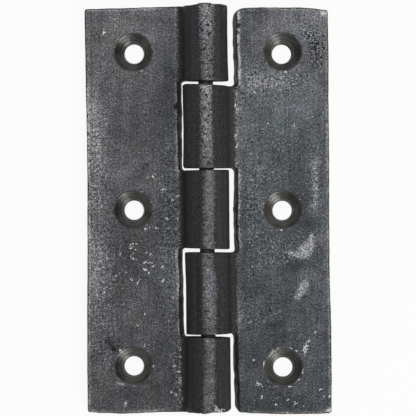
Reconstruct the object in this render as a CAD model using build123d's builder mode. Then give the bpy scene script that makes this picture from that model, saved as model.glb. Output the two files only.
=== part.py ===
"""Three-inch butt hinge: two solid-drawn steel leaves with interleaved knuckles on one plain pin.

The hinge lies open on its back, with the countersunk faces up (+Z) and the pin along Y.
The three-knuckle leaf reaches to -X and the two-knuckle leaf to +X. Sizes are in millimetres.
"""

import os
from math import sqrt

from build123d import *

# Drawn section of both leaves: a plate that runs into a round knuckle through a hollow root.
# The two-knuckle leaf is cut a little short at the top and a little long at the foot.
leaf_length = 76.2
leaf_thickness = 2.5
knuckle_diameter = 8.3
root_radius = 1.0
three_leaf_reach = 22.8
two_leaf_reach = 23.15
two_leaf_top_short = 0.2
two_leaf_foot_long = 0.5
three_leaf_corner = 0.4
two_leaf_corner = 0.6
two_leaf_inner_corner = 1.5
edge_round = 0.25

# Knuckles along the pin; the two-knuckle leaf hangs a little low in its end play
end_knuckle = 14.15
middle_knuckle = 14.7
knuckle_gap = 0.525
leaf_drop = 0.15

# Slots that clear the other leaf's knuckles, with a bevel along the front of each slot's edge
three_leaf_slot_clearance = 0.45
two_leaf_slot_clearance = 0.9
three_leaf_bevel = 0.55
two_leaf_bevel = 1.0
bevel_depth = 1.5
slot_corner = 0.5

# Countersunk screw holes, three in a row on each leaf; a row's lean is its step away from the pin at each hole
hole_diameter = 3.6
countersink_diameter = 7.2
countersink_angle = 90.0
hole_pitch = 29.4
three_leaf_hole_line = 13.7
three_leaf_hole_lean = 0.3
two_leaf_hole_line = 14.15
two_leaf_hole_lean = -0.17

# Pin, plain, with its cut ends a little proud of the knuckles
pin_diameter = 2.8
pin_bore_clearance = 0.06
pin_proud_top = 0.55
pin_proud_foot = 0.2
pin_chamfer = 0.2

# Values that follow from the sizes above
knuckle_radius = knuckle_diameter / 2
bore_radius = pin_diameter / 2 + pin_bore_clearance
slot_length = (leaf_length - 2 * end_knuckle - middle_knuckle) / 2
slot_centre = (middle_knuckle + slot_length) / 2
two_leaf_slot = middle_knuckle + 2 * knuckle_gap
two_leaf_end_slot = end_knuckle + knuckle_gap
two_leaf_top = leaf_length / 2 - two_leaf_top_short
two_leaf_length = leaf_length - two_leaf_top_short + two_leaf_foot_long
two_leaf_middle = two_leaf_top - two_leaf_length / 2
three_slot_edge = knuckle_radius + three_leaf_slot_clearance
two_slot_edge = knuckle_radius + two_leaf_slot_clearance
corner_centre = two_slot_edge + two_leaf_inner_corner
clear_height = 2 * knuckle_diameter

# Where the hollow of the root leaves the knuckle and where it meets the plate
root_rise = leaf_thickness + root_radius - knuckle_radius
root_reach = sqrt((knuckle_radius + root_radius) ** 2 - root_rise**2)
root_share = knuckle_radius / (knuckle_radius + root_radius)
root_top = knuckle_radius + root_rise * root_share

# Three-knuckle leaf
with BuildPart() as three_knuckle_leaf:
    with BuildSketch(Plane.XZ):
        with BuildLine():
            back = Line((-three_leaf_reach, 0), (0, 0))
            barrel = ThreePointArc(back @ 1, (knuckle_radius, knuckle_radius), (-root_reach * root_share, root_top))
            root = TangentArc(barrel @ 1, (-root_reach, leaf_thickness), tangent=barrel % 1)
            Polyline(root @ 1, (-three_leaf_reach, leaf_thickness), back @ 0)
        make_face()
    extrude(amount=leaf_length / 2, both=True)

    # Corners of the plate, then the softened edge all round the ends and the outer side
    fillet(three_knuckle_leaf.edges().filter_by(Axis.Z), three_leaf_corner)
    fillet(three_knuckle_leaf.faces().sort_by(Axis.X)[0].edges().filter_by(Axis.Y), edge_round)

    # Slots for the other leaf's two knuckles
    with BuildSketch() as three_leaf_slots:
        with GridLocations(0, 2 * slot_centre, 1, 2):
            Rectangle(2 * three_slot_edge, slot_length)
        fillet(three_leaf_slots.vertices().group_by(Axis.X)[0], slot_corner)
    extrude(amount=clear_height, both=True, mode=Mode.SUBTRACT)
    with BuildSketch(Plane.XZ.offset(-slot_centre), Plane.XZ.offset(slot_centre)):
        with BuildLine():
            Polyline(
                (-three_slot_edge, leaf_thickness - bevel_depth),
                (-three_slot_edge - three_leaf_bevel, leaf_thickness),
                (-three_slot_edge - three_leaf_bevel, clear_height),
                (-three_slot_edge, clear_height),
                close=True,
            )
        make_face()
    extrude(amount=slot_length / 2, both=True, mode=Mode.SUBTRACT)

    # Bore for the pin, and the row of screw holes from the top down
    with BuildSketch(Plane.XZ):
        with Locations((0, knuckle_radius)):
            Circle(bore_radius)
    extrude(amount=leaf_length, both=True, mode=Mode.SUBTRACT)
    with Locations(
        *[
            (-three_leaf_hole_line - step * three_leaf_hole_lean, -step * hole_pitch, leaf_thickness)
            for step in (-1, 0, 1)
        ]
    ):
        CounterSinkHole(hole_diameter / 2, countersink_diameter / 2, counter_sink_angle=countersink_angle)

# Two-knuckle leaf
with BuildPart() as two_knuckle_leaf:
    with BuildSketch(Plane.XZ.offset(-two_leaf_top)):
        with BuildLine():
            back = Line((two_leaf_reach, 0), (0, 0))
            barrel = ThreePointArc(back @ 1, (-knuckle_radius, knuckle_radius), (root_reach * root_share, root_top))
            root = TangentArc(barrel @ 1, (root_reach, leaf_thickness), tangent=barrel % 1)
            Polyline(root @ 1, (two_leaf_reach, leaf_thickness), back @ 0)
        make_face()
    extrude(amount=two_leaf_length)

    # Corners of the plate, then the softened edge all round the ends and the outer side
    fillet(two_knuckle_leaf.edges().filter_by(Axis.Z), two_leaf_corner)
    fillet(two_knuckle_leaf.faces().sort_by(Axis.X)[-1].edges().filter_by(Axis.Y), edge_round)

    # Slots for the other leaf's three knuckles; the plate's corners beside the end slots are well rounded
    with BuildSketch(Plane((0, -leaf_drop, 0))) as two_leaf_slots:
        Rectangle(2 * two_slot_edge, two_leaf_slot)
        with GridLocations(0, leaf_length, 1, 2):
            Rectangle(2 * two_slot_edge, 2 * two_leaf_end_slot)
        fillet(two_leaf_slots.vertices().group_by(Axis.X)[-1], slot_corner)
        with Locations((0, two_leaf_middle + leaf_drop)):
            with GridLocations(0, two_leaf_length, 1, 2):
                Rectangle(2 * corner_centre, 2 * two_leaf_inner_corner)
            with GridLocations(2 * corner_centre, two_leaf_length - 2 * two_leaf_inner_corner, 2, 2):
                Circle(two_leaf_inner_corner, mode=Mode.SUBTRACT)
    extrude(amount=clear_height, both=True, mode=Mode.SUBTRACT)
    with BuildSketch(Plane.XZ.offset(leaf_drop)) as two_leaf_bevels:
        with BuildLine():
            Polyline(
                (two_slot_edge, leaf_thickness - bevel_depth),
                (two_slot_edge + two_leaf_bevel, leaf_thickness),
                (two_slot_edge + two_leaf_bevel, clear_height),
                (two_slot_edge, clear_height),
                close=True,
            )
        make_face()
    extrude(amount=two_leaf_slot / 2, both=True, mode=Mode.SUBTRACT)
    for end in (-1, 1):
        with BuildSketch(Plane.XZ.offset(leaf_drop + end * leaf_length / 2)):
            add(two_leaf_bevels.sketch_local)
        extrude(amount=two_leaf_end_slot, both=True, mode=Mode.SUBTRACT)

    # Bore for the pin, and the row of screw holes from the top down
    with BuildSketch(Plane.XZ):
        with Locations((0, knuckle_radius)):
            Circle(bore_radius)
    extrude(amount=leaf_length, both=True, mode=Mode.SUBTRACT)
    with Locations(
        *[
            (two_leaf_hole_line + step * two_leaf_hole_lean, two_leaf_middle - step * hole_pitch, leaf_thickness)
            for step in (-1, 0, 1)
        ]
    ):
        CounterSinkHole(hole_diameter / 2, countersink_diameter / 2, counter_sink_angle=countersink_angle)

# Hinge pin, fast in the three-knuckle leaf
with BuildPart() as hinge_pin:
    with BuildSketch(Plane.XZ.offset(-leaf_length / 2 - pin_proud_top)):
        with Locations((0, knuckle_radius)):
            Circle(pin_diameter / 2)
    extrude(amount=leaf_length + pin_proud_top + pin_proud_foot)
    chamfer(hinge_pin.edges().filter_by(GeomType.CIRCLE), pin_chamfer)

os.makedirs("parts", exist_ok=True)
three_knuckle_leaf.part.label = "three_knuckle_leaf"
two_knuckle_leaf.part.label = "two_knuckle_leaf"
hinge_pin.part.label = "hinge_pin"
export_step(three_knuckle_leaf.part, "parts/three_knuckle_leaf.step")
export_step(two_knuckle_leaf.part, "parts/two_knuckle_leaf.step")
export_step(hinge_pin.part, "parts/hinge_pin.step")
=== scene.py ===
# %% [markdown]
# # A butt hinge in dark waxed steel
# Two steel leaves turn on one plain pin. Each leaf was drawn as one bar, a plate with a round
# knuckle along one side, then slotted so that the knuckles of the two leaves interleave, drilled
# and countersunk for wood screws, rubbed over with an abrasive belt and waxed.
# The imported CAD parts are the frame. Every piece below stands in for one of them.

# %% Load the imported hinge
import math
from types import SimpleNamespace

import bpy
import numpy as np
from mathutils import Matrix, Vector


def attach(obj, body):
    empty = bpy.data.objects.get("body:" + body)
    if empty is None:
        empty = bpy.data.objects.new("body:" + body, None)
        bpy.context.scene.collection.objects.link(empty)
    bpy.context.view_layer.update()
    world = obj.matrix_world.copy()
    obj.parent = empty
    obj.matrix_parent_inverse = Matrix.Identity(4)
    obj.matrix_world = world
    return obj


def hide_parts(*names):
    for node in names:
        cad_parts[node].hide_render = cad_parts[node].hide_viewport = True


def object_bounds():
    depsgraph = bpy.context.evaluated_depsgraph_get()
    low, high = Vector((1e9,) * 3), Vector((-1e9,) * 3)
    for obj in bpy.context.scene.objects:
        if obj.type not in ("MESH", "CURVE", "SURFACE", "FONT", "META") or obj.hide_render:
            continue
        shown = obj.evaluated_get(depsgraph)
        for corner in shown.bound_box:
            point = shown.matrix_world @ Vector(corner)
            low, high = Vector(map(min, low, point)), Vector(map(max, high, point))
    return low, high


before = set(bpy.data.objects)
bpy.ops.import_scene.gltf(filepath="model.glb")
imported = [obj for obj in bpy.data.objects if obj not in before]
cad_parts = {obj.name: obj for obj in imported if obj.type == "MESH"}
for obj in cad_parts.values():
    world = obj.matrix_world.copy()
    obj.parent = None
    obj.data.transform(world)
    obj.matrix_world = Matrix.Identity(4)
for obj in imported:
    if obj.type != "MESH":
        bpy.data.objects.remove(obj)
cad_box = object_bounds()


def in_mm(box):
    return [[round(c * 1000, 2) for c in corner] for corner in box]


print("CAD box, mm:", in_mm(cad_box))

# %% [markdown]
# ## Camera
# The hinge is seen from straight above through a long lens, so its leaves hide almost nothing of
# their own edges. An orthographic camera would hide even the walls of the slots, so this one keeps
# a little perspective: it stands 600 mm above the leaves. One pixel of a 416 x 416 picture is then
# 0.188 mm on the leaves. The camera is turned by a little over half a degree, as the hinge lies.

# %% Camera
PLATE = 2.5  # thickness of a leaf's plate; sizes here and below are in millimetres
PICTURE_HALF = 39.06
VIEW_HEIGHT = 600.0
VIEW_SHIFT = (0.204, 0.279)
VIEW_TURN = -0.585  # degrees

camera = bpy.data.objects.new("camera", bpy.data.cameras.new("camera"))
bpy.context.scene.collection.objects.link(camera)
camera.location = [c / 1000 for c in (*VIEW_SHIFT, VIEW_HEIGHT + PLATE)]
camera.rotation_euler = (0, 0, math.radians(VIEW_TURN))
camera.data.angle = 2 * math.atan(PICTURE_HALF / VIEW_HEIGHT)
camera.data.clip_start = 0.01
bpy.context.scene.camera = camera
print("camera lens, mm:", round(camera.data.lens, 1))

# %% [markdown]
# ## Unevenness
# Nothing on this hinge is quite straight: the edges were filed by eye and the wax hides dents.
# Smooth seeded noise gives that unevenness. It is worked out here on the points themselves,
# not with a Displace modifier, because it has to bend edges and fade in places.

# %% Smooth noise on points
CELLS = 32


def lumps(points, size, seed):
    """Smooth noise from -1 to 1 with lumps about as wide as size, which may differ along x, y and z."""
    table = np.random.default_rng(seed).uniform(-1, 1, (CELLS, CELLS, CELLS))
    cell = points / size
    base = np.floor(cell).astype(int)
    part = cell - base
    part = part * part * (3 - 2 * part)
    total = np.zeros(len(points))
    for corner in np.ndindex(2, 2, 2):
        share = np.prod(np.where(corner, part, 1 - part), axis=1)
        total += share * table[tuple(((base + corner) % CELLS).T)]
    return total


print("noise at the origin:", lumps(np.zeros((1, 3)), 1.0, 1).round(3))

# %% [markdown]
# ## The form of a leaf
# A leaf could be modelled with bevels on the CAD mesh, but its worn edges are soft here and crisp
# there. So its form is written as a signed distance: negative inside the steel, positive outside.
# Cuts and joins of such distances take a radius, which makes every edge a rounded one.

# %% Joins and cuts of distances
def rounded_cut(a, b, radius):
    """The part of a that is also in b, with the edge between them rounded."""
    corner = np.hypot(np.maximum(a + radius, 0), np.maximum(b + radius, 0))
    return np.minimum(np.maximum(a, b), -radius) + corner


def rounded_join(a, b, radius):
    """a and b together, with the inner corner between them filled by a hollow."""
    corner = np.hypot(np.maximum(radius - a, 0), np.maximum(radius - b, 0))
    return np.maximum(np.minimum(a, b), radius) - corner


def slab(u, y, near, far, foot, top, radius):
    """A rectangle in plan, from near to far out from the pin and from foot to top along it."""
    across = np.abs(u - (near + far) / 2) - (far - near) / 2 + radius
    along = np.abs(y - (foot + top) / 2) - (top - foot) / 2 + radius
    outside = np.hypot(np.maximum(across, 0), np.maximum(along, 0))
    return outside + np.minimum(np.maximum(across, along), 0) - radius


print("an edge rounded by 0.5 mm stands back by, mm:", round(float(rounded_cut(0.0, 0.0, 0.5)), 3))

# %% [markdown]
# The drawn section is a plate 2.5 mm thick that runs into a knuckle of 8.3 mm through a hollow
# root. The belt has left a narrow flat along the knuckle's crown. A curve with a bevel could give
# this bar too, but as a distance it can be cut with rounded edges.

# %% Drawn section, across the pin
BARREL = 4.15  # radius of the knuckle, and height of the pin's middle
ROOT = 1.0
ROOT_RISE = PLATE + ROOT - BARREL
ROOT_REACH = math.sqrt((BARREL + ROOT) ** 2 - ROOT_RISE**2)
CROWN_FLAT = 8.27
CROWN_SOFT = 0.12
FAR_OFF = 99.0


def drawn_section(u, z, barrel):
    """Distance to the bar at u out from the pin and z up, with a knuckle of the given radius."""
    plate = np.maximum(np.abs(z - PLATE / 2) - PLATE / 2, -u)
    knuckle = np.hypot(u, z - BARREL) - barrel
    knuckle = rounded_cut(knuckle, z - CROWN_FLAT, CROWN_SOFT)
    out, up = u - ROOT_REACH, z - PLATE - ROOT
    hollow = np.maximum(ROOT - np.hypot(out, up), np.maximum(-z, -u))
    under_root = (out < 0) & (up * ROOT_REACH < out * ROOT_RISE)
    return np.minimum(np.minimum(plate, knuckle), np.where(under_root, hollow, FAR_OFF))


print("the root meets the plate this far from the pin, mm:", round(ROOT_REACH, 2))

# %% [markdown]
# The two leaves share that section and differ in plan: where the knuckles stand, how far the plate
# reaches, how its ends and its outer side wander, and how deep the slots' bevels were filed.
# Edges are given as a few points, out from the pin (u) and along it (y). A knuckle is given by its
# foot and its top, each at the left and at the right of the pin, since its ends slant. The knuckles
# swell a little on the side away from their plate. A hole's row has its place and how far off the
# countersink is, and a nick's row has its place and its radius.

# %% Plan of the three-knuckle leaf
three = SimpleNamespace(
    node="three_knuckle_leaf", body="fixed_leaf", side=-1, seed=11,
    bevel=0.61, inner_corner=0.3, outer_corner=0.4, root_line=5.1,
    knuckles=(
        ((24.08, 23.95), (39.0, 39.0)), ((-7.24, -7.5), (7.42, 7.44)), ((-39.0, -39.0), (-23.72, -23.92)),
    ),
    swell=((-24, 0.0), (-23, 0.0), (-7, 0.05), (7, 0.08), (24, 0.16), (28, 0.04), (33, 0.0), (38, 0.06)),
    outer=(
        (-36, 22.79), (-28, 22.76), (-19, 22.66), (-11, 22.53), (-4, 22.46), (4, 22.37), (13, 22.38),
        (20, 22.47), (26, 22.53), (36, 22.61),
    ),
    top=(
        (-4, 38.2), (-3.3, 38.27), (-2.5, 38.32), (1.5, 38.3), (3, 38.12), (5, 38.2), (10.8, 38.09),
        (14, 38.0), (22.5, 37.85),
    ),
    foot=(
        (-4, -37.5), (-3.6, -37.76), (-3, -37.88), (-2, -37.85), (-0.7, -37.75), (0, -37.86), (1.8, -37.96),
        (2.7, -37.89), (3.7, -38.02), (5.7, -37.98), (9, -37.95), (13, -38.12), (16.7, -38.2),
        (20.4, -38.03), (22.3, -37.86),
    ),
    slot_edge=(
        (-23, 4.46), (-18, 4.57), (-14, 4.53), (-9, 4.68), (9, 4.58), (18, 4.47), (20.5, 4.56), (23, 4.58),
    ),
    holes=((-13.4, 29.4, -0.15, 0.18), (-13.7, 0.0, -0.15, 0.03), (-14.0, -29.3, -0.1, 0.0)),
    nicks=(
        (-5.5, 19.3, 0.5), (-22.6, 32.6, 0.3), (-22.5, 27.1, 0.25), (-22.45, 17.9, 0.3),
        (-22.4, 14.5, 0.35), (-22.4, 12.2, 0.25), (-12.6, -38.2, 0.35), (-22.6, -20.0, 0.25),
        (-22.7, -33.0, 0.3),
    ),
)
print(three.node, "holes:", len(three.holes), "knuckles:", len(three.knuckles), "nicks:", len(three.nicks))

# %% Plan of the two-knuckle leaf
two = SimpleNamespace(
    node="two_knuckle_leaf", body="swing_leaf", side=1, seed=23,
    bevel=0.62, inner_corner=1.5, outer_corner=0.6, root_line=5.42,
    knuckles=(((7.72, 7.66), (23.56, 23.15)), ((-23.38, -23.34), (-7.92, -8.05))),
    swell=(
        (-23, -0.05), (-14, -0.06), (-11, 0.03), (-8, 0.07), (8, 0.25), (12, 0.16), (15, 0.12), (23, 0.22),
    ),
    outer=(
        (-36, 23.05), (-32, 23.14), (-23, 23.12), (-15, 23.0), (-11, 22.95), (-4, 22.96), (9, 23.08),
        (20, 23.06), (28, 23.15), (36, 23.1),
    ),
    top=(
        (6.0, 37.5), (7.1, 37.78), (8.6, 37.86), (10.5, 37.9), (13, 37.82), (18, 37.79), (20.8, 37.53),
        (22.5, 37.3),
    ),
    foot=((6.9, -38.22), (7.8, -38.32), (9.7, -38.41), (13.5, -38.63), (20.5, -38.68), (22.5, -38.5)),
    slot_edge=(
        (-36, 4.84), (-31.5, 4.82), (-29, 4.62), (-25, 4.7), (-7, 5.13), (-3, 4.86), (2, 5.03), (7, 5.07),
        (25, 5.27), (28, 5.34), (30, 5.22), (33, 5.2), (36, 5.25),
    ),
    holes=((14.32, 29.1, 0.2, 0.37), (14.15, -0.33, 0.06, 0.07), (13.98, -29.8, 0.05, 0.0)),
    nicks=(
        (6.15, 34.4, 0.38), (6.05, 33.1, 0.35), (6.05, 30.9, 0.25), (23.0, 21.0, 0.25), (23.1, -24.0, 0.3),
    ),
)
LEAVES = (three, two)
print(two.node, "holes:", len(two.holes), "knuckles:", len(two.knuckles), "nicks:", len(two.nicks))

# %% [markdown]
# In plan the three-knuckle leaf is one rectangle with two slots cut out of it, because its end
# knuckles are flush with its ends. The two-knuckle leaf is a plate with two tongues joined on.
# Booleans of boxes could give the same plans, but with sharp corners and straight edges.

# %% Leaf in plan
SLOT_CORNER = 0.5
KNUCKLE_SPAN = 8.0
PAST_PIN, IN_PLATE = -12.0, 10.0  # where slots and tongues may end without being seen
OUTER_HALF = 12.0  # from here outwards, corners are the outer ones


def line_through(points, at):
    """The height at each place of a line drawn through a few points."""
    return np.interp(at, *zip(*points))


def knuckle_ends(x, leaf):
    """The foot and the top of each knuckle, from the lowest up, at each place across the pin."""
    share = np.clip(x / KNUCKLE_SPAN + 0.5, 0, 1)
    return [[left + (right - left) * share for left, right in pair] for pair in sorted(leaf.knuckles)]


def leaf_plan(x, y, leaf):
    u = leaf.side * x
    far = line_through(leaf.outer, y)
    foot, top = line_through(leaf.foot, u), line_through(leaf.top, u)
    edge = line_through(leaf.slot_edge, y)
    corner = np.where(u > OUTER_HALF, leaf.outer_corner, leaf.inner_corner)
    ends = knuckle_ends(x, leaf)
    if leaf is three:
        plan = slab(u, y, PAST_PIN, far, foot, top, corner)
        for below, above in zip(ends, ends[1:]):
            plan = np.maximum(plan, -slab(u, y, PAST_PIN, edge, below[1], above[0], SLOT_CORNER))
        return plan
    plan = slab(u, y, edge, far, foot, top, corner)
    for low, high in ends:
        plan = rounded_join(plan, slab(u, y, PAST_PIN, IN_PLATE, low, high, 0.0), SLOT_CORNER)
    return plan


def in_slot(x, y, leaf):
    """How far inside a slot a point is, along the pin; negative beside a knuckle."""
    ends = knuckle_ends(x, leaf)
    return np.min([np.abs(y - (low + high) / 2) - (high - low) / 2 for low, high in ends], axis=0)


print("steel beside the middle of the pin:", [bool(leaf_plan(0.0, 0.0, leaf) < 0) for leaf in LEAVES])

# %% [markdown]
# The whole leaf is the drawn section cut to the plan, with uneven edges. The slots were sawn, so
# their edges wander most. Each slot has a filed bevel along its front. The holes were drilled with
# a hand-held drill, so each countersink sits a little off its hole's centre.

# %% Leaf form
SLOT_LINE, SLOT_BAND = 5.2, 1.2
EDGE_SOFT, EDGE_UNEVEN = 0.26, 0.08
BEVEL_DEPTH, BEVEL_SOFT = 1.5, 0.12
BORE = 1.46
HOLE, SINK, DRILL_SOFT = 1.8, 3.6, 0.08
NICK_RISE, NICK_SOFT = 0.1, 0.08


def unevenness(points, leaf):
    """How far edges wander out from the pin and along it, and how deep the faces are dented."""
    sawn = 0.03 + 0.11 * np.exp(-(((np.abs(points[:, 0]) - SLOT_LINE) / SLOT_BAND) ** 2))
    wander = 0.05 * lumps(points, 7.0, leaf.seed) + sawn * lumps(points, 1.3, leaf.seed + 1)
    drift = 0.03 * lumps(points, 6.0, leaf.seed + 2) + 0.045 * lumps(points, 1.2, leaf.seed + 3)
    return wander, drift, 0.012 * lumps(points, 2.6, leaf.seed + 4)


def leaf_form(points, leaf):
    """Distance to the worn leaf."""
    wander, drift, dent = unevenness(points, leaf)
    x, y, z = points.T
    u = leaf.side * x
    swell = line_through(leaf.swell, y) * np.clip(-u / BARREL, 0, 1)
    section = drawn_section(u, z, BARREL + 0.4 * drift + swell) + dent
    plan = leaf_plan(x + leaf.side * wander, y + drift, leaf)
    form = rounded_cut(section, plan, EDGE_SOFT + EDGE_UNEVEN * lumps(points, 2.2, leaf.seed + 5))
    inward = line_through(leaf.slot_edge, y) + leaf.bevel - u - 2.0 * wander
    slope = ((z - PLATE) * leaf.bevel + inward * BEVEL_DEPTH) / math.hypot(leaf.bevel, BEVEL_DEPTH)
    form = rounded_cut(form, np.minimum(slope, in_slot(x, y, leaf)), BEVEL_SOFT)
    form = np.maximum(form, BORE - np.hypot(u, z - BARREL))
    for hole_x, hole_y, off_x, off_y in leaf.holes:
        drilled = np.hypot(x - hole_x, y - hole_y) - HOLE
        cone = np.hypot(x - hole_x - off_x, y - hole_y - off_y) + 0.5 * drift
        sunk = (cone - SINK + PLATE - z) / math.sqrt(2)
        form = rounded_cut(form, -np.minimum(drilled, sunk), DRILL_SOFT)
    for nick_x, nick_y, radius in leaf.nicks:
        bite = np.sqrt((x - nick_x) ** 2 + (y - nick_y) ** 2 + (z - PLATE - NICK_RISE) ** 2)
        form = rounded_cut(form, radius - bite, NICK_SOFT)
    return form


plate_middle = np.array([[18.0, 10.0, PLATE / 2]])
print("middle of the plate to the nearest face, mm:", leaf_form(plate_middle, two).round(2))

# %% [markdown]
# ## From a form to a mesh
# The CAD mesh has long thin triangles that cannot bend. A copy of it goes through the Remesh
# modifier in voxel mode, which gives even quads, and each vertex is then slid along the form's
# slope until it lies on the form. Subdividing would keep the long triangles, and sculpting would
# not come out the same each time. The CAD node itself stays as it is.

# %% Fit an even mesh to a form
SLOPE_STEP = 0.01
SLIDES, LONGEST_SLIDE = 5, 0.2
LEAST_STEEP = 0.25
INSET = 0.001


def slope_of(form, points):
    """The form's value and its direction of steepest rise at each point."""
    value = form(points)
    rises = [form(points + SLOPE_STEP * axis) - value for axis in np.eye(3)]
    return value, np.stack(rises, axis=1) / SLOPE_STEP


def fitted_piece(name, node, form, voxel):
    """A piece with even faces that stands in for a CAD node and follows a form given in millimetres."""
    piece = bpy.data.objects.new(name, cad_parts[node].data.copy())
    bpy.context.scene.collection.objects.link(piece)
    remesh = piece.modifiers.new("even_quads", "REMESH")
    remesh.mode = "VOXEL"
    remesh.voxel_size = voxel / 1000
    evaluated = piece.evaluated_get(bpy.context.evaluated_depsgraph_get())
    mesh = bpy.data.meshes.new_from_object(evaluated)
    piece.modifiers.clear()
    piece.data = mesh
    points = np.empty(len(mesh.vertices) * 3)
    mesh.vertices.foreach_get("co", points)
    points = points.reshape(-1, 3) * 1000
    for _ in range(SLIDES):
        value, rise = slope_of(form, points)
        steep = np.maximum(np.sum(rise * rise, axis=1), LEAST_STEEP)
        points -= np.clip(value / steep, -LONGEST_SLIDE, LONGEST_SLIDE)[:, None] * rise
    low, high = (np.array(corner) * 1000 for corner in cad_box)
    points = np.clip(points, low + INSET, high - INSET)
    mesh.vertices.foreach_set("co", (points / 1000).ravel())
    mesh.materials.clear()
    mesh.shade_smooth()
    mesh.update()
    value, rise = slope_of(form, points)
    print(name, "faces:", len(mesh.polygons), "worst misfit, mm:", round(float(np.abs(value).max()), 3))
    return piece, points, rise / np.linalg.norm(rise, axis=1, keepdims=True)


print("each vertex slides", SLIDES, "times, each time by at most, mm:", LONGEST_SLIDE)

# %% [markdown]
# Each leaf becomes one piece. It replaces its CAD node and rides on its body.

# %% The two leaves
LEAF_VOXEL = 0.27
for leaf in LEAVES:
    leaf.piece, leaf.points, leaf.normals = fitted_piece(
        f"{leaf.node}_worn", leaf.node, lambda points, leaf=leaf: leaf_form(points, leaf), LEAF_VOXEL
    )
    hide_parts(leaf.node)
    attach(leaf.piece, leaf.body)

# %% [markdown]
# ## The pin
# The pin is a length of plain rod, cut nearly square at the top and filed at a slant at the foot.
# It shows in the gaps between the knuckles and at both ends. A cylinder would do for the gaps, but
# not for the uneven ends, so the pin is fitted in the same way as the leaves.

# %% Pin
PIN, PIN_SOFT, PIN_VOXEL = 1.4, 0.2, 0.2
PIN_TOP, PIN_FOOT = 38.7, -38.13
TOP_SLANT, FOOT_SLANT = 0.02, 0.15


def pin_form(points):
    """Distance to the cut rod."""
    x, y, z = points.T
    rod = np.hypot(x, z - BARREL) - PIN + 0.01 * lumps(points, (0.8, 6.0, 0.8), 31)
    bite = 0.02 * lumps(points, 0.7, 32)
    ends = np.maximum(y - PIN_TOP + TOP_SLANT * (x + PIN) + bite, PIN_FOOT - y + FOOT_SLANT * x + bite)
    return rounded_cut(rod, ends, PIN_SOFT)


pin = fitted_piece("hinge_pin_cut", "hinge_pin", pin_form, PIN_VOXEL)[0]
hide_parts("hinge_pin")
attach(pin, "fixed_leaf")

# %% [markdown]
# ## Where the belt, the drill and years of handling have been
# The finish is not the same all over a leaf. The belt has rubbed the flat faces and the crowns
# grey and left the rounded flanks near black. A painted image could hold this, but these things
# follow the form, so they are worked out at each vertex and kept with the mesh as named values,
# which the materials read. Marks are soft ovals, because rubs, nicks and pits are about that shape.

# %% Keep a value at each vertex
def keep(leaf, name, values):
    attribute = leaf.piece.data.attributes.new(name, "FLOAT", "POINT")
    attribute.data.foreach_set("value", values.astype(np.float32))
    print(leaf.node, name, "mean:", round(float(values.mean()), 3))


def ramp(values, low, high):
    """A smooth rise from 0 at low to 1 at high."""
    share = np.clip((values - low) / (high - low), 0, 1)
    return share * share * (3 - 2 * share)


def ovals(points, rows):
    """Soft ovals. A row is a place (x, y), half length, half width, turn in degrees and strength."""
    total = np.zeros(len(points))
    for x, y, long, wide, turn, strength in rows:
        c, s = math.cos(math.radians(turn)), math.sin(math.radians(turn))
        along = (points[:, 0] - x) * c + (points[:, 1] - y) * s
        across = (points[:, 1] - y) * c - (points[:, 0] - x) * s
        total += strength * np.exp(-((along / long) ** 2) - (across / wide) ** 2)
    return total


print("an oval's strength at its side:", ovals(np.array([[0.0, 1.0, 0.0]]), [(0, 0, 2, 1, 0, 1)]).round(2))

# %% [markdown]
# Along each crown the belt has left a grey stripe. Its rows give a place along the pin, the stripe's
# middle and half width, how much lighter it is than the leaf, and how pitted. The stripe fades into
# the flanks over about two millimetres, which is painted shade of the knuckle's curve.

# %% Belted stripe on the crowns
STRIPE = ("along", "middle", "half", "lighter", "pitted")
three.crown = (
    (-37.5, 0.05, 1.25, 0.0, 0.2), (-24.5, 0.22, 1.2, 0.03, 0.2), (-6.5, 0.3, 1.25, 0.12, 0.1),
    (6.5, 0.52, 1.2, 0.12, 0.1), (25.0, 0.3, 1.35, 0.12, 0.9), (38.0, 0.38, 1.65, 0.18, 0.9),
)
two.crown = (
    (-23.0, 0.35, 1.3, 0.0, 0.5), (-17.0, 0.4, 1.5, 0.05, 0.6), (-9.0, 0.2, 1.25, 0.03, 0.6),
    (8.5, 0.0, 1.3, 0.14, 0.7), (15.0, 0.12, 1.2, 0.14, 0.6), (23.0, 0.0, 1.3, 0.22, 1.25),
)


def stripe(leaf, column):
    """One column of the stripe's rows, at each vertex of the leaf."""
    rows = np.array(leaf.crown)
    return np.interp(leaf.points[:, 1], rows[:, 0], rows[:, STRIPE.index(column)])


for leaf in LEAVES:
    print(leaf.node, "stripe half width, mm:", round(float(stripe(leaf, "half").mean()), 2))
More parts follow.
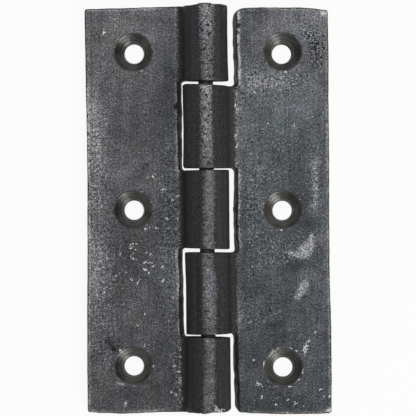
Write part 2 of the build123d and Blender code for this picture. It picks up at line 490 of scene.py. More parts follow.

# %% [markdown]
# The belt reached the flat fronts and the crowns' stripes and stopped at the root. The back, the ends
# and the outer sides were not belted: their skin is only rubbed in patches, by handling and by what
# the hinge lay on.

# %% Where the belt reached, with painted shade at the crowns' sides
ROOT_FADE = 0.8
BACK_RUB = 0.7
NEAR_END = 37.0
for leaf in LEAVES:
    x, y, z = leaf.points.T
    leaf.u, leaf.facing = leaf.side * x, leaf.normals[:, 2]
    leaf.on_crown = z > BARREL
    leaf.raised = ramp(z, PLATE - 0.3, PLATE - 0.1)
    off_stripe = np.abs(x - stripe(leaf, "middle")) - stripe(leaf, "half")
    # facing is 1 where a surface looks straight up; 0.8 to 0.97 is a tilt of 37 to 14 degrees
    flat = ramp(leaf.facing, 0.8, 0.97) * leaf.raised
    # on a crown the stripe fades out softly: painted shade of the knuckle's curve on top of the belt's real
    # stripe
    leaf.front = np.where(leaf.on_crown, 1 - ramp(off_stripe, -1.1, 0.9), flat)
    from_root = ramp(leaf.u, leaf.root_line - ROOT_FADE, leaf.root_line + ROOT_FADE)
    belted_with_crown_shade = leaf.front * np.where(leaf.on_crown, 1.0, from_root)
    broad = lumps(leaf.points, (5.0, 13.0, 5.0), leaf.seed + 8)
    patches = broad + 0.5 * lumps(leaf.points, 2.2, leaf.seed + 9)
    end = np.where(np.abs(y) > NEAR_END, np.abs(leaf.normals[:, 1]), 0)
    outer = np.where(leaf.u > OUTER_HALF, leaf.side * leaf.normals[:, 0], 0)
    hidden = ramp(np.max([-leaf.facing, end, outer], axis=0), 0.9, 0.99)
    keep(leaf, "belt_and_crown_shade", np.maximum(belted_with_crown_shade, BACK_RUB * ramp(patches, -0.7, 0.5) * hidden))
    keep(leaf, "crown", leaf.on_crown.astype(float))

# %% [markdown]
# Hands and cloths burnish what stands proud: the plate beside each slot and root, and its outer
# edges. Each slot's bevel is given a plain painted tone in place of light and shade: painted shade,
# near black, on the three-knuckle leaf, whose bevels face right, and painted light, grey, on the
# two-knuckle leaf, whose bevels face left. Rows give a place along the pin and a strength.

# %% Burnished edges, and painted light and shade on the bevels
three.burnish = ((-38, 1.2), (38, 1.2))
two.burnish = ((-38, 0.15), (-25, 0.15), (-8, 1.1), (8, 1.1), (24, 1.9), (37, 1.9))
# the bevels' tone is painted shade on the three-knuckle leaf and painted light on the two-knuckle leaf
three.bright_bevel = ((-38, 1.0), (38, 1.0))
two.bright_bevel = ((-38, 0.45), (-20, 0.45), (-8, 0.2), (8, 0.2), (20, 1.0), (38, 1.0))
SLOT_RIM, SLOT_RIM_HALF = 0.42, 0.28
ROOT_RIM, ROOT_RIM_HALF, ROOT_BURNISH = 0.25, 0.45, 0.5
EDGE_BAND, EDGE_FADE = 0.35, 0.2
for leaf in LEAVES:
    x, y, z = leaf.points.T
    slot = in_slot(x, y, leaf)
    bevel_top = line_through(leaf.slot_edge, y) + leaf.bevel
    beside_slot = (leaf.u - bevel_top - SLOT_RIM) / SLOT_RIM_HALF
    beside_root = (leaf.u - leaf.root_line - ROOT_RIM) / ROOT_RIM_HALF
    rim = np.exp(-(np.where(slot > 0, beside_slot, beside_root) ** 2))
    rubbed = np.where(slot > 0, line_through(leaf.burnish, y), ROOT_BURNISH)
    keep(leaf, "rim", rim * np.where(leaf.on_crown, 0.0, rubbed))
    from_edge = np.clip(-leaf_plan(x, y, leaf) - EDGE_BAND, 0, FAR_OFF) / EDGE_FADE
    keep(leaf, "edge", np.exp(-(from_edge**2)) * ramp(leaf.u, 7.0, 9.0) * ramp(leaf.facing, 0.0, 0.35))
    # the bevel mask, which carries the bevels' painted light and shade
    on_bevel = ramp(slot, 0, 0.15) * ramp(bevel_top + 0.2 - leaf.u, 0, 0.15) * ramp(leaf.facing, 0.15, 0.35)
    keep(leaf, "bevel_shading", on_bevel * line_through(leaf.bright_bevel, y))

# %% [markdown]
# The drill left turned countersinks, and a burr round some of them that has since been torn and
# worn bright. The distance from each countersink's centre is kept, since its rings follow it.

# %% Countersinks and their burrs
three.burr = ((-38, 0.5), (38, 0.5))
two.burr = ((-38, 1.0), (-20, 1.0), (-8, 0.5), (38, 0.5))
BURR_STRENGTH, BURR_OUT, BURR_WIDTH = 1.15, 0.12, 0.2
FARTHEST = 9.0
for leaf in LEAVES:
    x, y, z = leaf.points.T
    sink = np.min([np.hypot(x - hx - dx, y - hy - dy) for hx, hy, dx, dy in leaf.holes], axis=0)
    torn = line_through(leaf.burr, y) * ramp(lumps(leaf.points, 0.7, leaf.seed + 7), -0.1, 0.5)
    leaf.torn_rim = BURR_STRENGTH * torn * np.exp(-(((sink - SINK - BURR_OUT) / BURR_WIDTH) ** 2))
    keep(leaf, "sink", np.minimum(sink, FARTHEST))
    keep(leaf, "sunk", ramp(SINK - sink, -0.7, -0.4) * ramp(leaf.facing, -0.6, -0.3))

# %% [markdown]
# Handling has rubbed some places light and left dark wax in others. Broad rows near the top and the
# foot of each leaf are painted light and painted shade: they make the leaf lighter towards its top and
# darker towards its foot. A few dull white smudges are dried wax, with a firmer border than the rubs.

# %% Light and dark places
three.marks = (
    (-20.9, 13.0, 10.0, 1.6, 90, 0.16), (-20.6, -13.0, 10.0, 1.9, 90, 0.17),
    # (-14.0, 34.0) is painted light at the top and (-13.0, -34.0) painted shade at the foot
    (-14.0, 34.0, 9.0, 4.0, 0, 0.05), (-13.0, -34.0, 7.0, 4.0, 0, -0.1), (-6.6, -16.5, 8.0, 1.7, 90, 0.13),
    (-11.1, 8.5, 0.4, 0.3, 0, -0.25), (-18.4, -25.1, 1.2, 0.5, 125, -0.35),
    (-17.6, -26.3, 0.5, 0.35, 0, -0.3), (-20.5, 23.0, 7.0, 2.6, 90, 0.08),
    (-7.4, 21.0, 9.0, 2.6, 90, -0.06), (-6.8, 8.0, 9.0, 1.8, 90, -0.03),
)
two.marks = (
    # (14.0, 33.0) is painted light at the top; (14.0, -30.0) and (14.0, -37.0) are painted shade at the foot
    (14.0, 33.0, 9.0, 5.0, 0, 0.13), (12.0, 24.4, 6.5, 2.4, 0, 0.085), (7.6, 23.4, 1.7, 1.9, 0, 0.075),
    (9.0, 12.0, 6.0, 8.0, 0, 0.1), (14.0, -30.0, 9.0, 8.0, 0, -0.03), (14.0, -37.0, 9.0, 3.0, 0, -0.09),
    (16.2, -11.0, 2.6, 1.2, 15, -0.15), (-0.2, 18.9, 0.4, 0.3, 0, -0.5), (-0.2, 9.6, 0.3, 0.28, 0, -0.35),
    (0.3, 8.7, 0.3, 0.28, 0, -0.35), (-0.4, -19.0, 0.3, 0.28, 0, -0.3), (12.5, -21.9, 1.2, 0.6, 0, -0.2),
    (20.6, 30.5, 3.6, 1.9, 100, -0.14), (20.4, 4.0, 5.0, 0.8, 90, 0.1), (21.8, -2.0, 7.0, 1.0, 90, 0.14),
    (20.2, 4.2, 1.6, 0.9, 100, 0.14), (19.9, 0.2, 1.7, 0.95, 85, 0.2), (20.1, 8.0, 1.3, 0.95, 80, 0.2),
    (22.2, 36.6, 0.5, 0.4, 0, 0.5), (22.3, -37.9, 0.5, 0.4, 0, 0.4),
)
three.smudges = ((-15.6, -36.3, 0.9, 0.45, 80, 0.8), (-16.5, -32.6, 0.9, 0.4, 160, 0.8))
two.smudges = (
    (18.6, -7.7, 2.3, 1.5, 50, 1.0), (19.55, -5.6, 1.0, 0.45, 80, 0.9), (15.7, -8.5, 1.4, 0.65, 170, 0.5),
    (17.95, -14.75, 1.8, 1.2, 60, 0.85), (16.9, -16.6, 1.1, 0.7, 60, 0.65),
)
SMUDGE_LIGHT = 0.34
for leaf in LEAVES:
    smudged = ramp(ovals(leaf.points, leaf.smudges), 0.2, 0.75)
    light = ovals(leaf.points, leaf.marks) + SMUDGE_LIGHT * smudged
    keep(leaf, "marks", (light + np.where(leaf.on_crown, stripe(leaf, "lighter"), 0)) * leaf.front)

# %% [markdown]
# Knocks have cut through the skin to bright metal: short strokes and points, some in groups. They
# are flat on the face, so they are a colour and not a dent. Two rows, at the foot of the lowest
# knuckle of the three-knuckle leaf, are a painted highlight: a glint laid on as colour.

# %% Bright nicks and a painted glint
three.flecks = (
    (-14.29, -13.01, 0.5, 0.22, 149, 1.1), (-13.65, -13.6, 0.4, 0.2, 123, 0.6),
    (-13.0, -13.5, 0.7, 0.2, 68, 1.05), (-14.31, -8.71, 0.42, 0.22, 116, 1.0),
    (-13.69, -9.15, 0.55, 0.22, 165, 1.0), (-11.85, -9.84, 0.4, 0.2, 34, 0.85),
    (-11.2, -9.75, 0.45, 0.22, 160, 1.1), (-10.4, -10.0, 0.35, 0.2, 150, 0.9),
    (-10.2, -10.6, 0.4, 0.2, 40, 1.0), (-11.9, -11.05, 0.45, 0.22, 142, 1.1),
    (-11.45, -11.15, 0.3, 0.2, 58, 0.9), (-11.05, -11.8, 0.3, 0.25, 0, 1.0),
    (-13.89, -6.21, 0.26, 0.25, 0, 0.9), (-14.44, -6.52, 0.26, 0.25, 0, 0.9),
    (-13.44, -7.47, 0.26, 0.25, 0, 0.85), (-13.82, -8.17, 0.26, 0.25, 0, 0.9),
    (-12.4, -5.67, 0.26, 0.25, 0, 0.9), (-13.25, -6.38, 0.26, 0.25, 0, 0.85),
    (-11.56, -7.96, 0.35, 0.24, 0, 0.9), (-8.25, -13.1, 0.35, 0.2, 80, 0.95),
    (-19.02, 33.4, 0.65, 0.34, 91, 1.0), (-10.62, -8.36, 0.5, 0.3, 100, 1.0),
    (-14.4, -7.05, 0.4, 0.28, 0, 1.0), (-8.26, 3.9, 0.45, 0.32, 30, 1.0),
    (-16.56, -26.35, 0.7, 0.3, 99, 0.9), (-11.0, 6.3, 0.35, 0.28, 90, 0.7),
    (-5.61, -1.64, 0.5, 0.3, 5, 0.9), (-8.6, -13.5, 0.45, 0.2, 30, 1.0), (-16.36, -8.25, 0.32, 0.3, 0, 1.0),
    (-10.09, 6.3, 0.45, 0.3, 108, 0.9), (-9.4, -3.38, 0.4, 0.3, 146, 1.0),
    (-10.9, -3.32, 0.4, 0.3, 45, 0.9), (-15.3, -11.8, 0.3, 0.28, 0, 0.8),
    (-7.36, -1.68, 0.46, 0.3, 169, 0.9), (-16.1, -14.7, 0.3, 0.28, 0, 0.8),
    (-15.49, -36.2, 0.3, 0.3, 162, 0.9), (-8.5, -10.64, 0.35, 0.3, 80, 1.0),
    # (2.0, -37.45) and (1.3, -36.8) on the next line are a painted highlight: a glint at the knuckle's foot
    (-6.3, -29.26, 0.35, 0.3, 0, 1.0), (2.0, -37.45, 0.9, 0.4, 5, 1.2), (1.3, -36.8, 0.5, 0.28, 100, 0.9),
    (-7.0, -34.1, 0.5, 0.3, 60, 0.9), (-6.2, -34.6, 0.5, 0.3, 120, 0.9), (-5.25, -26.2, 0.5, 0.3, 90, 0.8),
    (-5.5, -32.3, 0.6, 0.28, 90, 0.7), (-11.5, -33.0, 0.9, 0.3, 150, 0.6),
    (-17.17, -12.28, 0.3, 0.3, 0, 0.9), (-15.3, -27.22, 0.5, 0.3, 31, 0.7),
    (-11.65, -3.5, 0.33, 0.3, 18, 0.8), (-11.77, -19.45, 0.32, 0.28, 45, 1.0),
    (-13.26, -21.56, 0.3, 0.3, 0, 0.9), (-15.74, -25.14, 0.3, 0.28, 0, 0.8),
    (-5.2, -27.6, 0.5, 0.28, 80, 0.9), (-5.6, -30.4, 0.4, 0.28, 0, 0.9), (-5.3, -31.6, 0.3, 0.28, 0, 0.9),
    (-5.2, -33.7, 0.4, 0.28, 60, 0.9), (-4.9, -35.4, 0.4, 0.28, 90, 0.9), (-5.3, 7.2, 0.4, 0.28, 90, 0.8),
    (-5.4, 2.6, 0.5, 0.28, 20, 0.8), (-6.4, 1.9, 0.4, 0.28, 10, 0.8), (-12.0, -25.4, 0.6, 0.28, 110, 0.7),
    (-11.2, -25.2, 0.4, 0.28, 60, 0.6), (-10.3, -29.2, 0.32, 0.28, 0, 0.8),
)
two.flecks = (
    (18.19, -26.3, 1.5, 0.7, 69, 0.8), (16.3, -36.55, 0.56, 0.28, 171, 1.0),
    (9.87, -33.15, 0.7, 0.3, 125, 0.9), (9.85, -35.42, 0.5, 0.3, 43, 0.9),
    (16.51, -26.84, 0.4, 0.28, 79, 1.0), (20.12, -23.29, 0.36, 0.3, 135, 1.0),
    (18.75, -14.05, 0.5, 0.3, 94, 0.7), (19.73, -5.67, 0.45, 0.3, 136, 0.7),
    (16.99, -16.35, 0.6, 0.3, 64, 0.7), (8.54, -10.75, 0.36, 0.3, 53, 0.9),
    (7.94, -21.31, 0.38, 0.3, 45, 0.9), (18.89, -24.87, 0.26, 0.3, 0, 0.9), (5.76, 8.8, 0.3, 0.3, 32, 0.9),
    (5.5, 19.4, 0.4, 0.3, 90, 0.9), (6.1, 18.7, 0.5, 0.28, 10, 0.9), (5.5, 13.8, 0.6, 0.3, 90, 0.9),
    (5.7, 11.8, 0.5, 0.3, 80, 0.9), (14.6, 19.2, 0.3, 0.28, 0, 0.8), (16.6, 15.6, 0.5, 0.28, 135, 0.9),
    (11.5, 16.0, 0.3, 0.28, 0, 0.8), (12.63, -36.76, 0.33, 0.3, 135, 0.9),
    (15.15, 25.65, 0.3, 0.3, 32, 0.8), (11.9, -26.75, 0.5, 0.22, 35, 0.9),
    (13.1, -26.2, 0.5, 0.22, 15, 0.9), (14.4, -26.1, 0.5, 0.22, 175, 0.8),
    (15.6, -26.4, 0.4, 0.22, 155, 0.8), (12.8, -33.3, 0.4, 0.22, 160, 0.8),
    (15.3, -33.3, 0.5, 0.22, 20, 0.8), (16.9, -32.2, 0.5, 0.22, 50, 0.8), (16.8, 2.4, 0.6, 0.2, 135, 0.7),
    (14.2, -4.0, 0.6, 0.2, 0, 0.6), (8.45, -28.3, 0.4, 0.3, 45, 1.0), (14.9, -35.9, 0.4, 0.28, 120, 0.9),
    (22.7, -35.3, 0.5, 0.3, 90, 1.0), (22.6, -37.9, 0.6, 0.4, 40, 1.0), (21.5, -35.6, 0.7, 0.28, 70, 0.8),
    (20.9, -34.1, 0.5, 0.28, 60, 0.8), (17.9, -37.1, 0.4, 0.28, 20, 0.8), (19.6, -29.4, 0.3, 0.28, 0, 0.8),
    (9.1, -32.7, 0.5, 0.28, 130, 0.9),
)
for leaf in LEAVES:
    bright = np.minimum(ovals(leaf.points, leaf.flecks) + leaf.torn_rim, 1)
    keep(leaf, "flecks", bright * leaf.raised * ramp(leaf.facing, 0.1, 0.4))

# %% [markdown]
# Rust pitted a few patches before the leaves were waxed, and in others the scale is coarse and
# catches the light. The crowns have their own pits, from the stripe's rows.

# %% Pitted and coarse patches
three.pits = (
    (-18.3, -25.3, 1.6, 0.7, 130, 1.6), (-19.0, -7.0, 2.4, 0.6, 0, 0.9), (-6.0, -31.0, 5.5, 0.8, 90, 0.6),
    (-21.5, 5.0, 20.0, 0.8, 90, 0.6),
)
two.pits = (
    (19.4, 32.8, 2.0, 1.1, 130, 1.8), (20.9, 29.6, 3.2, 1.6, 95, 2.0), (6.6, 20.0, 3.0, 0.6, 90, 0.6),
    (10.0, 24.0, 4.0, 3.0, 0, 0.4), (13.0, -19.0, 5.0, 4.0, 0, 0.3),
)
three.coarse = (
    (-20.8, 10.0, 14.0, 2.6, 90, 0.8), (-19.5, -12.0, 12.0, 3.2, 90, 1.0), (-7.0, -3.0, 17.0, 2.2, 90, 1.1),
    (-6.0, -31.0, 5.5, 0.9, 90, 0.9), (-20.0, -26.0, 7.0, 2.4, 90, 0.5),
)
two.coarse = (
    (9.5, 23.8, 5.0, 3.4, 0, 0.9), (16.5, 24.6, 4.0, 2.2, 0, 0.6), (12.0, -8.0, 5.0, 4.0, 0, 1.0),
    (20.2, 4.0, 6.0, 1.5, 92, 1.2), (15.5, -8.6, 1.8, 1.2, 0, 0.7), (12.5, 18.6, 0.9, 0.9, 0, 0.9),
    (18.5, -7.6, 2.8, 1.8, 57, 0.5), (17.8, -15.2, 2.6, 1.4, 67, 0.6), (9.5, -20.0, 3.6, 2.6, 0, 0.8),
    (12.0, 12.0, 6.0, 4.0, 0, 0.4), (14.0, -35.0, 6.0, 2.0, 0, 0.5), (17.5, -26.0, 2.0, 1.6, 0, 0.6),
    (16.2, -12.0, 2.6, 1.5, 20, -0.8), (8.4, 2.0, 6.0, 2.6, 90, 0.9), (12.5, 6.0, 3.0, 1.6, 0, 0.8),
)
CROWN_COARSE = 0.15
for leaf in LEAVES:
    pitted = np.where(leaf.on_crown, stripe(leaf, "pitted"), ovals(leaf.points, leaf.pits))
    coarse = np.where(leaf.on_crown, CROWN_COARSE, ovals(leaf.points, leaf.coarse))
    keep(leaf, "pitted", pitted * leaf.front)
    keep(leaf, "coarse", coarse * leaf.front)

# %% [markdown]
# Heat and wax tinge the grey, warm in some places and bluish in others. The crowns' tinge is
# given along the pin and the faces' by ovals.

# %% Tinge
three.cool = (
    (-6.6, -3.0, 30.0, 2.2, 90, 0.4), (-20.0, -14.0, 9.0, 2.5, 90, 0.15), (-12.5, -10.5, 4.5, 4.0, 0, 0.2),
)
two.cool = ((14.0, 31.0, 9.0, 9.0, 0, 0.3), (18.6, -8.0, 3.0, 2.0, 50, 0.3))
three.crown_cool = ((-38, -0.3), (8, -0.3), (24, 0.05), (38, 0.05))
two.crown_cool = ((-24, 0.7), (-19, 0.6), (-14, 0.3), (-8, 0.3), (8, 0.55), (38, 0.6))
for leaf in LEAVES:
    on_crown = line_through(leaf.crown_cool, leaf.points[:, 1])
    keep(leaf, "cool", np.where(leaf.on_crown, on_crown, ovals(leaf.points, leaf.cool)))

# %% [markdown]
# ## Colour and nodes
# Colours are written as sRGB hex, as they would be picked from a screen, and turned to the linear
# values that the shader works in. One function adds a node, sets it up and links it.

# %% Helpers for materials
def linear(hex_colour):
    channels = [int(hex_colour[i : i + 2], 16) / 255 for i in (1, 3, 5)]
    return [c / 12.92 if c <= 0.04045 else ((c + 0.055) / 1.055) ** 2.4 for c in channels] + [1.0]


def put(tree, kind, sockets=None, output=None, **settings):
    """Add a node with its settings, its constants and its links, and give back one of its outputs."""
    added = tree.nodes.new(kind)
    for name, value in settings.items():
        setattr(added, name, value)
    for socket, value in (sockets or {}).items():
        if isinstance(value, bpy.types.NodeSocket):
            tree.links.new(value, added.inputs[socket])
        else:
            added.inputs[socket].default_value = value
    if output:
        return added.outputs[output]
    return next((socket for socket in added.outputs if socket.enabled), None)


def new_material(name):
    material = bpy.data.materials.new(name)
    material.use_nodes = True
    material.node_tree.nodes.clear()
    return material, material.node_tree


print("middle grey, linear:", [round(c, 3) for c in linear("#777777")])

# %% [markdown]
# ## Waxed drawn steel
# Hot-drawn steel keeps a blue-black skin. The belt breaks through it on the flat faces, so they
# are a speckled grey with fine lines along the leaf, and the rounded flanks stay near black with
# faint draw lines along the pin. The wax makes all of it satin. Countersinks were turned by the
# bit, so they have fine rings and a warmer, oiled look.
# An image texture would be quicker, but patterns made from noise stay sharp from any distance and
# run round every edge. Their sizes are those of the real marks, in millimetres. Where those are
# finer than a pixel, the pattern is drawn coarser so that it shows.

# %% Patterns in the steel
# Each row is a pattern's name, its size across, its detail and how far it is stretched along the pin.
PATTERNS = (
    ("cloud", 11.0, 1.0, 1.0),  # wax wiped on unevenly, about a thumb's width
    ("tinge", 4.5, 2.0, 1.0),  # temper colours and wax, warmer or bluer
    ("mottle", 2.6, 3.0, 1.0),  # scale that came away in flakes
    ("specks", 0.62, 2.0, 1.0),  # crumbs of scale in the coarse patches
    ("dots", 0.4, 1.0, 1.0),  # rust pits
    ("sparks", 0.38, 0.0, 1.0),  # bright points, really about 0.1 mm, drawn two pixels wide
    ("grain", 0.28, 2.0, 1.0),  # the skin's own grain, really under 0.1 mm, drawn coarser
    ("grit", 0.2, 1.0, 1.0),  # crumbs between the pits, really under 0.1 mm, drawn a pixel wide
    ("belt_lines", 0.3, 1.0, 40.0),  # scratches of a P60 belt, with grit of about 0.27 mm
    ("draw_lines", 0.9, 2.0, 45.0),  # faint furrows from the drawing die
)
RING_PITCH, RING_WAVER = 0.3, 0.3  # turned rings, really about 0.1 mm apart, drawn coarser
print("patterns:", len(PATTERNS), "finest, mm:", min(size for _, size, _, _ in PATTERNS))

# %% [markdown]
# The tone of the belted face runs from 0, dark skin, to 1, bare bright metal. Each row below is one
# Math node: the name of its result, its operation and what goes in, which is a number, a pattern, a
# value kept at the vertices or an earlier result. A row takes less room than a call for each node.

# %% Steps from the patterns to the tone of the belted face
FACE_TONE = (
    ("grain_off", "SUBTRACT", "grain", 0.5),
    ("specks_off", "SUBTRACT", "specks", 0.5),
    ("grit_off", "SUBTRACT", "grit", 0.5),
    # soft clouds, flakes and belt lines
    ("clouded", "MULTIPLY_ADD", "cloud", 0.35, 0.275),
    ("flakes", "MULTIPLY_ADD", "mottle", 0.4, -0.2),
    ("scratches", "MULTIPLY_ADD", "belt_lines", 0.2, -0.1),
    ("flaked", "ADD", "clouded", "flakes"),
    ("scratched", "ADD", "flaked", "scratches"),
    # grain, calmer on the crowns and stronger in the coarse patches
    ("calm", "MULTIPLY_ADD", "crown", -0.25, 1.0),
    ("contrast", "MULTIPLY_ADD", "coarse", 0.55, "calm"),
    ("grained", "MULTIPLY_ADD", "grain_off", "contrast", "scratched"),
    # light and dark places, with painted light and shade from the marks and the crown stripe, and darker
    # where the belt only brushed the skin
    ("brushed", "MULTIPLY_ADD", "belt_and_crown_shade", 0.2, -0.2),
    ("marked", "ADD", "grained", "marks"),
    ("shaded", "ADD", "brushed", "marked"),
    # burnished rims and edges, uneven
    ("rims", "MULTIPLY_ADD", "edge", 0.9, "rim"),
    ("worn_rims", "MULTIPLY", "rims", "mottle"),
    ("burnished", "MULTIPLY_ADD", "worn_rims", 0.5, "shaded"),
    # bright points and crumbs of scale
    ("points", "MULTIPLY_ADD", "sparks", 12.0, -8.8),
    ("points_weight", "MULTIPLY_ADD", "coarse", 0.12, 0.18),
    ("sparkling", "MULTIPLY_ADD", "points", "points_weight", "burnished"),
    ("specks_weight", "MULTIPLY", "coarse", 0.8),
    ("speckled", "MULTIPLY_ADD", "specks_off", "specks_weight", "sparkling"),
    # crumbs and pits, more crowded where the face is more pitted
    ("grit_weight", "MULTIPLY", "pitted", 1.1),
    ("gritty", "MULTIPLY_ADD", "grit_off", "grit_weight", "speckled"),
    ("crowding", "MULTIPLY", "pitted", "pitted"),
    ("crowded", "MULTIPLY_ADD", "crowding", 0.35, 6.2),
    ("pits", "MULTIPLY_ADD", "dots", -16.0, "crowded"),
    ("pits_weight", "MULTIPLY_ADD", "pitted", -0.5, -0.2),
    ("pocked", "MULTIPLY_ADD", "pits", "pits_weight", "gritty"),
    # bright nicks with broken edges, and the painted glint at the knuckle's foot
    ("broken", "MULTIPLY_ADD", "grain_off", 1.8, "flecks"),
    ("nicked_and_glint", "MULTIPLY_ADD", "broken", 6.0, -3.3),
    ("tone", "MULTIPLY_ADD", "nicked_and_glint", 0.52, "pocked"),
)
print("Math nodes for the tone:", len(FACE_TONE))

# %% [markdown]
# Further rows say where the tinge and the wax lie, how the dark skin and the turned rings vary, and
# where each of the three shows. The belt's border is ragged, since it skips over low places, and the
# wax has gathered and yellowed along it. The last rows give the bump, the roughness and how
# metallic the surface is. Roughness starts at 0.5, as for a satin waxed metal. Bare steel would be
# fully metallic and its skin hardly at all, and the wax draws both towards the middle.

# %% Steps for the skin, the countersinks and the surface
SKIN_AND_RINGS = (
    ("tinged", "MULTIPLY_ADD", "tinge", 0.9, -0.1),
    ("tint", "ADD", "tinged", "cool"),
    ("whole", "SUBTRACT", 1.0, "nicked_and_glint"),
    ("waxed_edge", "MULTIPLY", "edge", "wax"),
    ("furrows", "MULTIPLY_ADD", "grain_off", 2.4, "draw_lines"),
    ("ring_off", "SUBTRACT", "ring", 0.5),
    ("turning", "MULTIPLY_ADD", "ring_off", 2.2, "mottle"),
    ("inside", "MULTIPLY_ADD", "sink", -9.0, 9.0 * SINK + 0.5),
    ("drilled", "MULTIPLY", "sunk", "inside"),
)
WHERE_BARE = (
    ("ragged", "ADD", "grain_off", "specks_off"),
    ("ragged_weight", "MULTIPLY_ADD", "crown", -0.6, 1.4),
    ("ragged_belt", "MULTIPLY_ADD", "ragged", "ragged_weight", "belt_and_crown_shade"),
    ("rubbed", "MULTIPLY_ADD", "ragged_belt", 3.0, -1.0),
    ("bare", "MAXIMUM", "rubbed", "nicked_and_glint"),
    ("skin_left", "MULTIPLY_ADD", "bare", -2.0, 2.0),
    ("border", "MULTIPLY", "bare", "skin_left"),
)
SURFACE = (
    ("fine_height", "MULTIPLY_ADD", "belt_lines", 0.3, "grain"),
    ("ring_height", "MULTIPLY", "ring", "drilled"),
    ("height", "MULTIPLY_ADD", "ring_height", 5.0, "fine_height"),
    ("satin", "MULTIPLY_ADD", "drilled", -0.22, 0.5),
    ("roughness", "MULTIPLY_ADD", "mottle", 0.2, "satin"),
    ("bared", "MULTIPLY_ADD", "bare", 0.4, 0.3),
    ("metallic", "MAXIMUM", "bared", "drilled"),
)
STEPS = FACE_TONE + SKIN_AND_RINGS + WHERE_BARE + SURFACE
# Results that are kept between 0 and 1
CLAMPED = {"points", "pits", "nicked_and_glint", "tone", "inside", "rubbed"}
print("Math nodes in all:", len(STEPS))

# %% [markdown]
# Colours come last: a colour ramp for each kind of surface, then the blends that lay them over one
# another. The greys are those of mild steel from scale to bare metal, the skin is near black, and
# old wax is a pale straw yellow that only multiplies what is under it.

# %% Colours of the steel and how they blend
GREYS = (
    (0.0, "#1c1d1f"), (0.22, "#3a3b3d"), (0.42, "#545659"),
    (0.62, "#797b7e"), (0.82, "#adadaf"), (1.0, "#dbdadb"),
)
SKIN = ((0.25, "#171717"), (0.75, "#383838"))
TURNED = ((0.2, "#3e3e3c"), (0.8, "#7d7c79"))
WAX = "#e6dfc4"
# Each row is the name of a blend, its share, what is underneath, what is laid on and the kind of blend.
BLENDS = (
    ("face", "whole", "greys", "tints", "MULTIPLY"),
    ("waxed_face", "waxed_edge", "face", "old_wax", "MULTIPLY"),
    # the skin, with the bevels' painted shade and painted light laid over it
    ("dark", "bevel_shading", "skin", "bevel_light_and_shade", "MIX"),
    ("leaf", "bare", "dark", "waxed_face", "MIX"),
    ("bordered", "border", "leaf", "old_wax", "MULTIPLY"),
    ("colour", "drilled", "bordered", "turned", "MIX"),
)
print("blends:", [row[0] for row in BLENDS])

# %% [markdown]
# The function below lays all of that out as nodes. The seed moves the patterns, so that the two
# leaves differ as two bars do.

# %% Waxed steel
VERTEX_VALUES = (
    "belt_and_crown_shade", "crown", "rim", "edge", "bevel_shading", "sink", "sunk", "marks", "flecks", "pitted", "coarse", "cool",
)
BUMP_DEPTH, BUMP_STRENGTH = 0.03, 0.6


def waxed_steel(name, seed, tints, bevel_light_and_shade, wax):
    material, tree = new_material(name)
    made = {"wax": wax, "old_wax": linear(WAX)}
    coords = put(tree, "ShaderNodeTexCoord", output="Object")
    mm = put(tree, "ShaderNodeVectorMath", {0: coords, "Scale": 1000.0}, operation="SCALE")
    mm = put(tree, "ShaderNodeVectorMath", {0: mm, 1: (seed, seed, 0.0)}, operation="ADD")
    for pattern, size, detail, stretch in PATTERNS:
        place = put(tree, "ShaderNodeVectorMath", {0: mm, 1: (1.0, stretch, 1.0)}, operation="DIVIDE")
        sockets = {"Vector": place, "Scale": 1 / size, "Detail": detail}
        made[pattern] = put(tree, "ShaderNodeTexNoise", sockets)
    for kept in VERTEX_VALUES:
        made[kept] = put(tree, "ShaderNodeAttribute", output="Fac", attribute_name=kept)
    sockets = {0: made["mottle"], 1: RING_WAVER, 2: made["sink"]}
    waver = put(tree, "ShaderNodeMath", sockets, operation="MULTIPLY_ADD")
    sockets = {"W": waver, "Scale": 1 / RING_PITCH, "Detail": 2.0}
    made["ring"] = put(tree, "ShaderNodeTexNoise", sockets, noise_dimensions="1D")

    for step, operation, *inputs in STEPS:
        sockets = {place: made.get(value, value) for place, value in enumerate(inputs)}
        made[step] = put(tree, "ShaderNodeMath", sockets, operation=operation, use_clamp=step in CLAMPED)

    for band, share, stops in (
        ("greys", "tone", GREYS), ("tints", "tint", tints), ("skin", "furrows", SKIN),
        ("bevel_light_and_shade", "grain", bevel_light_and_shade), ("turned", "turning", TURNED),
    ):
        made[band] = put(tree, "ShaderNodeValToRGB", {"Fac": made[share]})
        elements = made[band].node.color_ramp.elements
        elements[0].position, elements[0].color = stops[0][0], linear(stops[0][1])
        elements[1].position, elements[1].color = stops[-1][0], linear(stops[-1][1])
        for place, colour in stops[1:-1]:
            elements.new(place).color = linear(colour)
    for blend, share, under, over, kind in BLENDS:
        sockets = {0: made[share], 6: made[under], 7: made[over]}
        made[blend] = put(tree, "ShaderNodeMix", sockets, data_type="RGBA", blend_type=kind)

    relief = {"Height": made["height"], "Distance": BUMP_DEPTH / 1000, "Strength": BUMP_STRENGTH}
    finish = {
        "Base Color": made["colour"],
        "Metallic": made["metallic"],
        "Roughness": made["roughness"],
        "Normal": put(tree, "ShaderNodeBump", relief),
    }
    put(tree, "ShaderNodeOutputMaterial", {"Surface": put(tree, "ShaderNodeBsdfPrincipled", finish)})
    print(name, "nodes:", len(tree.nodes))
    return material


print("values read from the vertices:", len(VERTEX_VALUES))

# %% [markdown]
# The three-knuckle leaf is a warmer grey, with its bevels painted near black as shade. The two-knuckle
# leaf is bluer, with its bevels painted grey as light, and has more wax along its edges.

# %% Waxed steel for each leaf
THREE_TINTS = ((0.2, "#fefbf3"), (0.4, "#fef8fd"), (0.85, "#ebf6fb"))
TWO_TINTS = ((0.25, "#ecf5f8"), (0.65, "#fbf7fd"), (0.95, "#fdfaf5"))
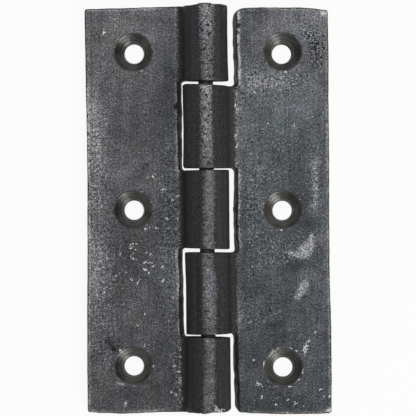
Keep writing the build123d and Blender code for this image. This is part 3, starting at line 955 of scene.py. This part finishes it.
# bevel tones: painted shade for the three-knuckle leaf, painted light for the two-knuckle leaf
THREE_BEVEL_SHADE = ((0.3, "#0e0e0e"), (0.7, "#1c1c1c"))
TWO_BEVEL_LIGHT = ((0.3, "#333334"), (0.7, "#535455"))
for leaf, *finish in (
    (three, "waxed_drawn_steel_three", 0.0, THREE_TINTS, THREE_BEVEL_SHADE, 0.2),
    (two, "waxed_drawn_steel_two", 40.0, TWO_TINTS, TWO_BEVEL_LIGHT, 0.6),
):
    leaf.piece.data.materials.append(waxed_steel(*finish))

# %% [markdown]
# ## Bright drawn rod for the pin
# The pin is bright drawn steel rod gone grey and oiled, so it shines a little more than the leaves.
# To the eye it is dark between the knuckles, with lines along it. Its real draw lines are finer than
# a pixel, so they are drawn a quarter of a millimetre wide.

# %% Pin steel
ROD_LINE = (0.25, 6.0, 0.25)
ROD_DARK, ROD_LIGHT = "#1d1c1b", "#6a6866"
ROD_BUMP, ROD_BUMP_STRENGTH = 0.01, 0.6

pin_material, tree = new_material("oiled_bright_drawn_steel")
coords = put(tree, "ShaderNodeTexCoord", output="Object")
lines = {0: coords, 1: [c / 1000 for c in ROD_LINE]}
stretched = put(tree, "ShaderNodeVectorMath", lines, operation="DIVIDE")
streaks = put(tree, "ShaderNodeTexNoise", {"Vector": stretched, "Scale": 1.0, "Detail": 2.0})
greys = {0: streaks, 6: linear(ROD_DARK), 7: linear(ROD_LIGHT)}
relief = {"Height": streaks, "Distance": ROD_BUMP / 1000, "Strength": ROD_BUMP_STRENGTH}
rod = {
    "Base Color": put(tree, "ShaderNodeMix", greys, data_type="RGBA"),
    "Metallic": 0.8,
    "Roughness": 0.4,
    "Normal": put(tree, "ShaderNodeBump", relief),
}
put(tree, "ShaderNodeOutputMaterial", {"Surface": put(tree, "ShaderNodeBsdfPrincipled", rod)})
pin.data.materials.append(pin_material)
print("pin material:", pin_material.name, "nodes:", len(tree.nodes))

# %% [markdown]
# ## Floor
# The hinge lies on white paper. The paper is mostly an even white glow to the camera and to
# reflections, so that it comes out white under plain light, and partly a lit surface, so that it
# still takes the hinge's soft shadow. A brighter lamp would whiten it too, but also the steel.

# %% Floor
FLOOR_HALF, FLOOR_DROP = 1.5, -0.00003  # metres
PAPER = "#f4f4f2"
GLOW_SHARE = 0.9

corners = [(sx * FLOOR_HALF, sy * FLOOR_HALF, FLOOR_DROP) for sx, sy in ((-1, -1), (1, -1), (1, 1), (-1, 1))]
floor_mesh = bpy.data.meshes.new("floor")
floor_mesh.from_pydata(corners, [], [(0, 1, 2, 3)])
floor = bpy.data.objects.new("floor", floor_mesh)
bpy.context.scene.collection.objects.link(floor)

floor_material, tree = new_material("white_paper")
rays = put(tree, "ShaderNodeLightPath").node.outputs
seen = put(tree, "ShaderNodeMath", {0: rays["Is Camera Ray"], 1: rays["Is Glossy Ray"]}, operation="MAXIMUM")
seen = put(tree, "ShaderNodeMath", {0: seen, 1: rays["Is Transmission Ray"]}, operation="MAXIMUM")
share = put(tree, "ShaderNodeMath", {0: seen, 1: GLOW_SHARE}, operation="MULTIPLY")
paper = put(tree, "ShaderNodeBsdfDiffuse", {"Color": linear(PAPER)})
glow = put(tree, "ShaderNodeEmission", {"Color": linear("#ffffff"), "Strength": 1.0})
both = put(tree, "ShaderNodeMixShader", {0: share, 1: paper, 2: glow})
put(tree, "ShaderNodeOutputMaterial", {"Surface": both})
floor_mesh.materials.append(floor_material)
print("floor, m:", [round(c, 2) for c in floor.dimensions])

# %% [markdown]
# ## World and lamps
# The world is a dim even grey, as in a white room. One wide lamp hangs above, and a smaller one
# stands low at the lower right of the picture, which is where the countersinks show that the light
# comes from. A sun lamp would give harder shading than the hinge has.

# %% World
WORLD_STRENGTH = 0.4
world = bpy.data.worlds.new("studio")
bpy.context.scene.world = world
world.use_nodes = True
tree = world.node_tree
tree.nodes.clear()
dim = put(tree, "ShaderNodeBackground", {"Color": linear("#ffffff"), "Strength": WORLD_STRENGTH})
put(tree, "ShaderNodeOutputWorld", {"Surface": dim})
print("world strength:", WORLD_STRENGTH)

# %% Lamps
LAMPS = (  # name, place in metres, width in metres, power in watts
    ("overhead", (0.1, 0.3, 0.78), 0.6, 2.5),
    ("key", (0.4, -0.57, 0.27), 0.36, 2.8),
)
for name, place, width, power in LAMPS:
    lamp = bpy.data.objects.new(name, bpy.data.lights.new(name, "AREA"))
    lamp.data.shape = "DISK"
    lamp.data.size = width
    lamp.data.energy = power
    lamp.location = place
    lamp.rotation_euler = (-lamp.location).to_track_quat("-Z", "Y").to_euler()
    bpy.context.scene.collection.objects.link(lamp)
    print(name, "lamp, m from the hinge:", round(lamp.location.length, 2))

bpy.context.scene.view_settings.view_transform = "Standard"

# %% [markdown]
# ## Size
# The fitted pieces are clipped to the CAD model's box, so the visual model stays inside it.

# %% Finish
bpy.context.view_layer.update()
